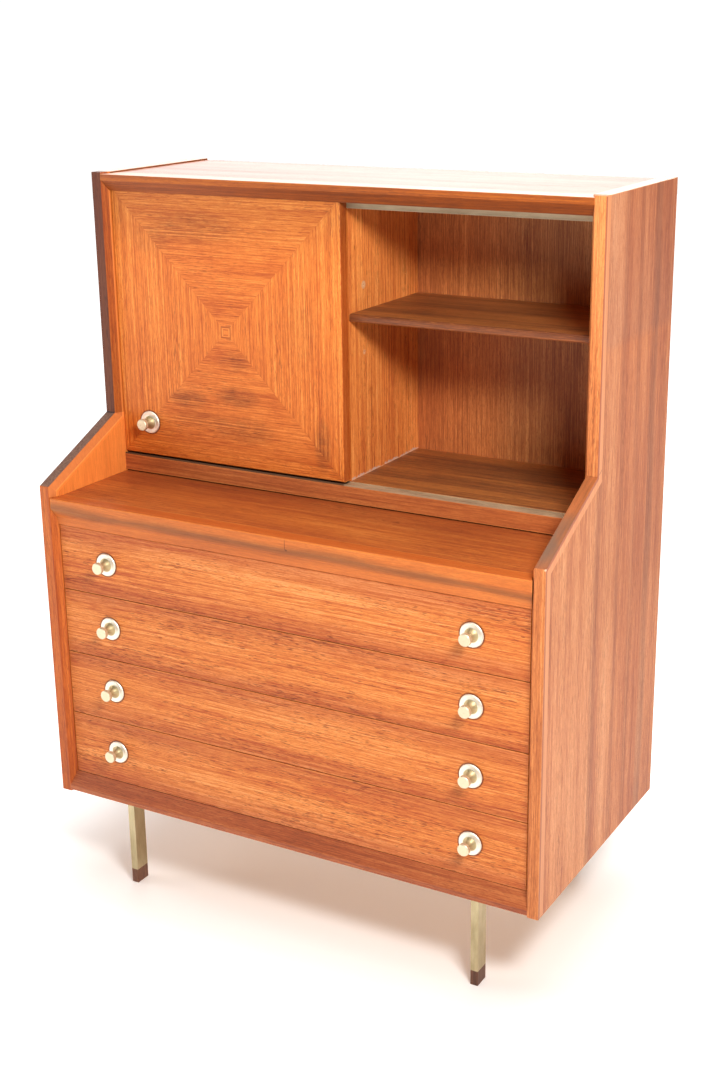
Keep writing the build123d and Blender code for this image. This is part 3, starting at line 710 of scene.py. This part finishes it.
def nose_marks(box):
    """Painted shade darkens the moulding under the top below the flat strip, and a painted highlight
    makes the upper face pale.
    """
    top = box[1][2]

    def paint(shader, position, line, colour):
        height = shader.split(position)[2]
        # Painted shade on the downward-facing moulding.
        lower = shader.step(height, top - 0.0100, top - 0.0112)
        colour = tinted(shader, colour, lower, (0.80, 0.76, 0.80))
        # Painted highlight: the upturned face is pale, standing in for glare.
        upturned = shader.step(height, top - 0.0006, top - 0.0002)
        return shader.mix(upturned, colour, srgb(222, 184, 162))

    return paint


def back_marks(box):
    """Painted light, paler and redder, toward the divider, and painted shade below the shelf."""
    foot = box[0][2]

    def paint(shader, position, line, colour):
        x, _, z = shader.split(position)
        # Painted light: the back is lighter and redder toward the divider, where the key light falls
        # into the open bay.
        cloud = shader.noise(position, (9.0, 1.0, 1.4), 2.0, 0.6, 0.16)
        left = shader.step(shader.math("ADD", x, cloud), 0.30, 0.06)
        colour = tinted(shader, colour, left, (1.26, 1.06, 0.92))
        # Painted shade below the shelf.
        painted_shade_below_shelf = shader.step(z, foot + 0.40, foot + 0.22)
        return tinted(shader, colour, painted_shade_below_shelf, (0.90, 0.78, 0.74))

    return paint


def shelf_marks(box):
    """Darker, purplish wood on the front edge of a shelf."""
    front = box[0][1]

    def paint(shader, position, line, colour):
        edge = shader.step(shader.split(position)[1], front + 0.0042, front + 0.0030)
        return tinted(shader, colour, edge, (0.66, 0.56, 0.66))

    return paint


def plain_wood(name, axis, seed, colours, shine=0.55):
    """Sanded hardwood or plywood inside the case, with faint grain and small marks."""
    shader = Shader(name)
    along, first, second = grain_coordinates(shader, shader.position(), axis, seed)
    grain = shader.join(along, first, second)
    band = shader.noise(grain, (1.5, 26.0, 26.0), 3.0, 0.6, 1.2)
    fine = shader.noise(grain, (14.0, 520.0, 520.0), 2.0, 0.6, 1.1)
    stain = shader.noise(grain, (4.0, 6.0, 6.0), 3.0, 0.6, 0.9)
    grain_tone = shader.math("ADD", band, fine)
    tone = shader.math("ADD", grain_tone, shader.math("ADD", stain, 0.5), clamp=True)
    pale, base, dark = [srgb(*colour) for colour in colours]
    shader.set(
        Base_Color=shader.ramp(tone, [(0.1, pale), (0.5, base), (1.0, dark)]),
        Roughness=shader.math("MULTIPLY_ADD", tone, 0.15, shine),
    )
    shader.bump(tone, 0.0003, 0.3)
    return shader.material


def brushed_metal(
    name, colours, shine, axis, seed, tarnish=0.5, metallic=1.0, knob=None, cap_y=0.0, under_door_shade_x=None
):
    """Drawn or brushed metal: fine lines along one axis, and a cloudy tarnish.

    A knob has turned rings, and painted shade darkens its hub and neck. A track gets painted shade
    along the part that lies under the door.
    """
    shader = Shader(name)
    position = shader.position()
    along, first, second = grain_coordinates(shader, position, axis, seed)
    grain = shader.join(along, first, second)
    lines = shader.noise(grain, (12.0, 1800.0, 1800.0), 2.0, 0.6, 1.0)
    cloud = shader.noise(grain, (14.0, 40.0, 40.0), 4.0, 0.65, tarnish * 3)
    lines_tone = shader.math("MULTIPLY", lines, 0.6)
    tone = shader.math("ADD", lines_tone, shader.math("ADD", cloud, 0.5), clamp=True)
    pale, dark = [srgb(*colour) for colour in colours]
    colour = shader.ramp(tone, [(0.1, pale), (0.9, dark)])
    roughness = shader.math("MULTIPLY_ADD", tone, 0.12, shine)
    if knob:
        radius = knob_radius(shader, position, knob)
        rings = shader.math("SINE", shader.math("MULTIPLY", radius, RING_FREQUENCY))
        lines = shader.math("MULTIPLY_ADD", rings, 0.25, lines)
        # Painted shade: the hub and the neck under the cap are darker, standing in for the shade on
        # the knob's cone.
        hub = shader.step(radius, HUB_OUTER, HUB_INNER)
        colour = tinted(shader, colour, hub, (0.80, 0.74, 0.60))
        neck = shader.step(shader.split(position)[1], cap_y + CAP_FRONT, cap_y + CAP_REAR)
        neck = shader.math("MULTIPLY", neck, hub)
        colour = tinted(shader, colour, neck, (0.66, 0.58, 0.44))
    # Painted shade: the lower track is darkened where it lies under the door.
    if under_door_shade_x is not None:
        under_door_shade = shader.step(shader.split(position)[0], under_door_shade_x + 0.002, under_door_shade_x - 0.002)
        colour = tinted(shader, colour, under_door_shade, (0.30, 0.22, 0.18))
    shader.set(Base_Color=colour, Metallic=metallic, Roughness=roughness)
    shader.bump(lines, 0.0001, 0.25)
    return shader.material


# ---------------------------------------------------------------------------------------------
# Materials on the CAD nodes
# ---------------------------------------------------------------------------------------------
# In each call below, the number after the grain's axis is the seed that shifts one piece's figure.
DRAWERS = range(1, 5)


def dress(name, material):
    for slot in nodes[name].material_slots:
        slot.material = material


# The look of each board, and the axis that its grain runs along.
BOARDS = {
    "top_panel": ("top", 0),
    "top_front_rail": ("nose", 0),
    "bottom_front_rail": ("foot_rail", 0),
    "cabinet_floor": ("shelf", 0),
    "cabinet_floor_rail": ("moulding", 0),
    "centre_divider": ("divider", 2),
    "divider_edge_strip": ("solid", 2),
    "shelf_left": ("shelf", 0),
    "shelf_right": ("shelf", 0),
    "back_panel_upper": ("back", 2),
    "side_panel_left": ("side", 2),
    "side_panel_right": ("side", 2),
    "front_lipping_left": ("solid", 2),
    "front_lipping_right": ("pale_solid", 2),
    "writing_leaf": ("leaf", 0),
    "leaf_front_rail": ("leaf_rail", 0),
}
MARKS = {
    "top_front_rail": nose_marks,
    "back_panel_upper": back_marks,
    "centre_divider": divider_marks,
    "shelf_left": shelf_marks,
    "shelf_right": shelf_marks,
    "side_panel_left": side_marks,
    "side_panel_right": side_marks,
    "front_lipping_left": dark_lipping_marks,
    "front_lipping_right": lipping_marks,
    "writing_leaf": leaf_marks,
    "leaf_front_rail": rail_marks,
}
for seed, (name, (look, axis)) in enumerate(BOARDS.items(), start=1):
    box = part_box(name)
    marks = MARKS[name](box) if name in MARKS else None
    dress(name, teak(f"teak_{name}", look, axis, seed, box, marks=marks))
for number in DRAWERS:
    name = f"drawer_{number}_front"
    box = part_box(name)
    veneer = teak(f"teak_{name}", "drawer", 0, 20.0 + 0.1 * number, box, marks=drawer_marks(box))
    dress(name, veneer)
door_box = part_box("sliding_door")
door_veneer = teak(
    "teak_sliding_door", "door", box=door_box, quartered=True, marks=door_marks(door_box)
)
dress("sliding_door", door_veneer)

LEG_METAL = [(202, 188, 152), (160, 144, 108)]
PLATE_METAL = [(170, 160, 134), (120, 110, 86)]
for number, corner in enumerate(("front_left", "front_right", "rear_left", "rear_right")):
    dress(f"leg_tip_{corner}", teak(f"teak_tip_{corner}", "tip", 2, seed=30.0 + number))
    dress(f"leg_{corner}", brushed_metal(f"leg_metal_{corner}", LEG_METAL, 0.28, 2, number))
dress("leg_plates", brushed_metal("plate_metal", PLATE_METAL, 0.38, 0, 5.0))

BEECH = [(222, 186, 138), (204, 164, 114), (176, 134, 88)]
PLY = [(206, 168, 120), (186, 146, 98), (156, 116, 74)]
for number in DRAWERS:
    dress(f"drawer_{number}_sides", plain_wood(f"beech_sides_{number}", 1, 40.0 + number, BEECH))
    dress(f"drawer_{number}_back", plain_wood(f"beech_back_{number}", 0, 44.0 + number, BEECH))
    dress(f"drawer_{number}_bottom", plain_wood(f"ply_bottom_{number}", 0, 48.0 + number, PLY))
BATTENS = ("drawer_runners_left", "drawer_runners_right", "leaf_cleat_left", "leaf_cleat_right")
for number, name in enumerate(BATTENS):
    dress(name, plain_wood(f"beech_{name}", 1, 52.0 + number, BEECH))
dress("stretcher", plain_wood("beech_stretcher", 0, 57.0, BEECH))
dress("back_panel_lower", plain_wood("ply_back_lower", 2, 58.0, PLY, 0.6))
dress("bottom_panel", plain_wood("ply_bottom", 0, 59.0, PLY, 0.6))

SATIN = [(252, 247, 234), (236, 228, 206)]


def dress_knobs(name, material_name, seed):
    cap_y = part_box(name)[0][1]
    metal = brushed_metal(material_name, SATIN, 0.42, 1, seed, 0.15, 0.75, knob_place(name), cap_y)
    dress(name, metal)


for number in DRAWERS:
    dress_knobs(f"drawer_{number}_knobs", f"knob_metal_{number}", 60.0 + number)
dress_knobs("door_knob", "knob_metal_door", 65.0)

UPPER_TRACK = [(196, 172, 140), (152, 128, 98)]
LOWER_TRACK = [(200, 172, 136), (150, 122, 92)]
upper_metal = brushed_metal("track_upper_metal", UPPER_TRACK, 0.5, 0, 66.0, 0.5, 0.3)
dress("upper_track", upper_metal)
lower_metal = brushed_metal(
    "track_lower_metal", LOWER_TRACK, 0.5, 0, 67.0, 0.5, 0.3, under_door_shade_x=door_box[1][0]
)
dress("lower_track", lower_metal)

PIN_METAL = [(190, 186, 176), (150, 146, 136)]
SCREW_METAL = [(170, 166, 156), (120, 116, 106)]
GUIDE_PLASTIC = [(40, 38, 36), (32, 30, 28), (24, 22, 21)]
dress("shelf_pins", brushed_metal("pin_metal", PIN_METAL, 0.3, 0, 68.0))
dress("leg_screws", brushed_metal("screw_metal", SCREW_METAL, 0.35, 2, 69.0))
dress("door_guides", plain_wood("guide_plastic", 0, 70.0, GUIDE_PLASTIC, 0.5))


# ---------------------------------------------------------------------------------------------
# Floor, light and camera
# ---------------------------------------------------------------------------------------------
WHITE = (1.0, 1.0, 1.0, 1.0)
BLACK = (0.0, 0.0, 0.0, 1.0)
WARM_GLOW = (1.0, 0.72, 0.62, 1.0)


def new_mesh(name, mesh_data):
    mesh = bpy.data.meshes.new(name)
    mesh_data.to_mesh(mesh)
    mesh_data.free()
    piece = bpy.data.objects.new(name, mesh)
    scene.collection.objects.link(piece)
    return piece


# The pale floor glows a little, so that it stays white around the desk and warm below it: a weaker
# glow there paints a tight shadow, and its warmth paints the light bounced from the wood.
floor_data = bmesh.new()
bmesh.ops.create_circle(floor_data, cap_ends=True, segments=96, radius=12.0)
floor = new_mesh("studio_floor", floor_data)
floor_shader = Shader("studio_floor")
floor_place = floor_shader.position()
cloud = floor_shader.noise(floor_place, (1.2, 1.2, 1.2), 3.0, 0.5, 0.03)
across, deep, _ = floor_shader.split(floor_place)
from_desk = floor_shader.hypotenuse(across, deep)
gaps = []
for value, half in ((across, cad_high[0]), (deep, cad_high[1])):
    gap = floor_shader.math("SUBTRACT", floor_shader.math("ABSOLUTE", value), half)
    gaps.append(floor_shader.math("MAXIMUM", gap, 0.0))
outside = floor_shader.hypotenuse(gaps[0], gaps[1])
clear = floor_shader.step(outside, 0.0, 0.28)
near_glow = floor_shader.math("MULTIPLY_ADD", clear, 0.45, 0.20)
neutral = floor_shader.step(outside, -0.02, 0.12)
glow = floor_shader.math("MULTIPLY_ADD", floor_shader.step(from_desk, 1.8, 3.2), 0.60, near_glow)
cloud = floor_shader.math("ADD", cloud, 0.5)
floor_shader.set(
    Base_Color=floor_shader.mix(cloud, srgb(242, 240, 236), srgb(247, 246, 243)),
    Roughness=0.6,
    Specular_IOR_Level=0.2,
    Emission_Color=floor_shader.mix(neutral, WARM_GLOW, WHITE),
    Emission_Strength=glow,
)
floor.data.materials.append(floor_shader.material)

# A white surround that only the camera sees.
backdrop_data = bmesh.new()
bmesh.ops.create_icosphere(backdrop_data, subdivisions=4, radius=25.0)
backdrop = new_mesh("studio_backdrop", backdrop_data)
backdrop_shader = Shader("studio_backdrop")
backdrop_shader.set(
    Base_Color=BLACK,
    Specular_IOR_Level=0.0,
    Emission_Color=WHITE,
    Emission_Strength=1.05,
)
backdrop.data.materials.append(backdrop_shader.material)
backdrop.visible_diffuse = False
backdrop.visible_glossy = False
backdrop.visible_shadow = False


def softbox(name, place, target, size, power, spread=180.0):
    """A rectangular light of a size in metres and a power in watts, aimed at a target."""
    light = bpy.data.lights.new(name, "AREA")
    light.spread = math.radians(spread)
    light.shape = "RECTANGLE"
    light.size, light.size_y = size
    light.energy = power
    holder = bpy.data.objects.new(name, light)
    scene.collection.objects.link(holder)
    holder.location = place
    holder.rotation_mode = "QUATERNION"
    holder.rotation_quaternion = (Vector(target) - Vector(place)).to_track_quat("-Z", "Y")
    holder.visible_camera = False


softbox("key_light", (1.45, -1.30, 1.97), (0.0, 0.0, 0.75), (0.6, 0.35), 51)
softbox("left_fill", (-2.8, -1.0, 1.2), (0.0, 0.0, 0.65), (1.6, 1.6), 31)
softbox("low_fill", (-2.0, -2.0, 0.6), (0.0, 0.0, 0.5), (1.6, 1.0), 6)
softbox("overhead", (0.2, 0.2, 3.2), (0.1, 0.1, 0.0), (3.0, 3.0), 76)
softbox("backdrop_glow", (-1.5, 2.9, 1.9), (0.0, 0.0, 1.2), (3.4, 2.4), 19, 90)

world = bpy.data.worlds.new("studio")
scene.world = world
world.use_nodes = True
background = world.node_tree.nodes["Background"]
background.inputs["Color"].default_value = (1.0, 0.995, 0.985, 1.0)
background.inputs["Strength"].default_value = 0.04

# The camera's place and angles, solved from how the corners and edges of the case line up.
CAMERA_PLACE = (1.3318, -2.2513, 1.5234)
AZIMUTH, ELEVATION, ROLL = math.radians(29.22), math.radians(17.72), -0.0098
FOCAL_LENGTH, SENSOR_WIDTH = 52.59779, 36.0

back = Vector(
    (
        math.sin(AZIMUTH) * math.cos(ELEVATION),
        -math.cos(AZIMUTH) * math.cos(ELEVATION),
        math.sin(ELEVATION),
    )
)
level_right = (-back).cross(Vector((0, 0, 1))).normalized()
level_up = level_right.cross(-back)
right = level_right * math.cos(ROLL) + level_up * math.sin(ROLL)
up = level_up * math.cos(ROLL) - level_right * math.sin(ROLL)
turn = Matrix((right, up, back)).transposed().to_4x4()
lens = bpy.data.cameras.new("photo_camera")
lens.sensor_width = SENSOR_WIDTH
lens.lens = FOCAL_LENGTH
lens.shift_x = -0.0217
lens.shift_y = -0.0175
lens.clip_start, lens.clip_end = 0.05, 60.0
camera = bpy.data.objects.new("photo_camera", lens)
scene.collection.objects.link(camera)
camera.matrix_world = Matrix.Translation(CAMERA_PLACE) @ turn
scene.camera = camera
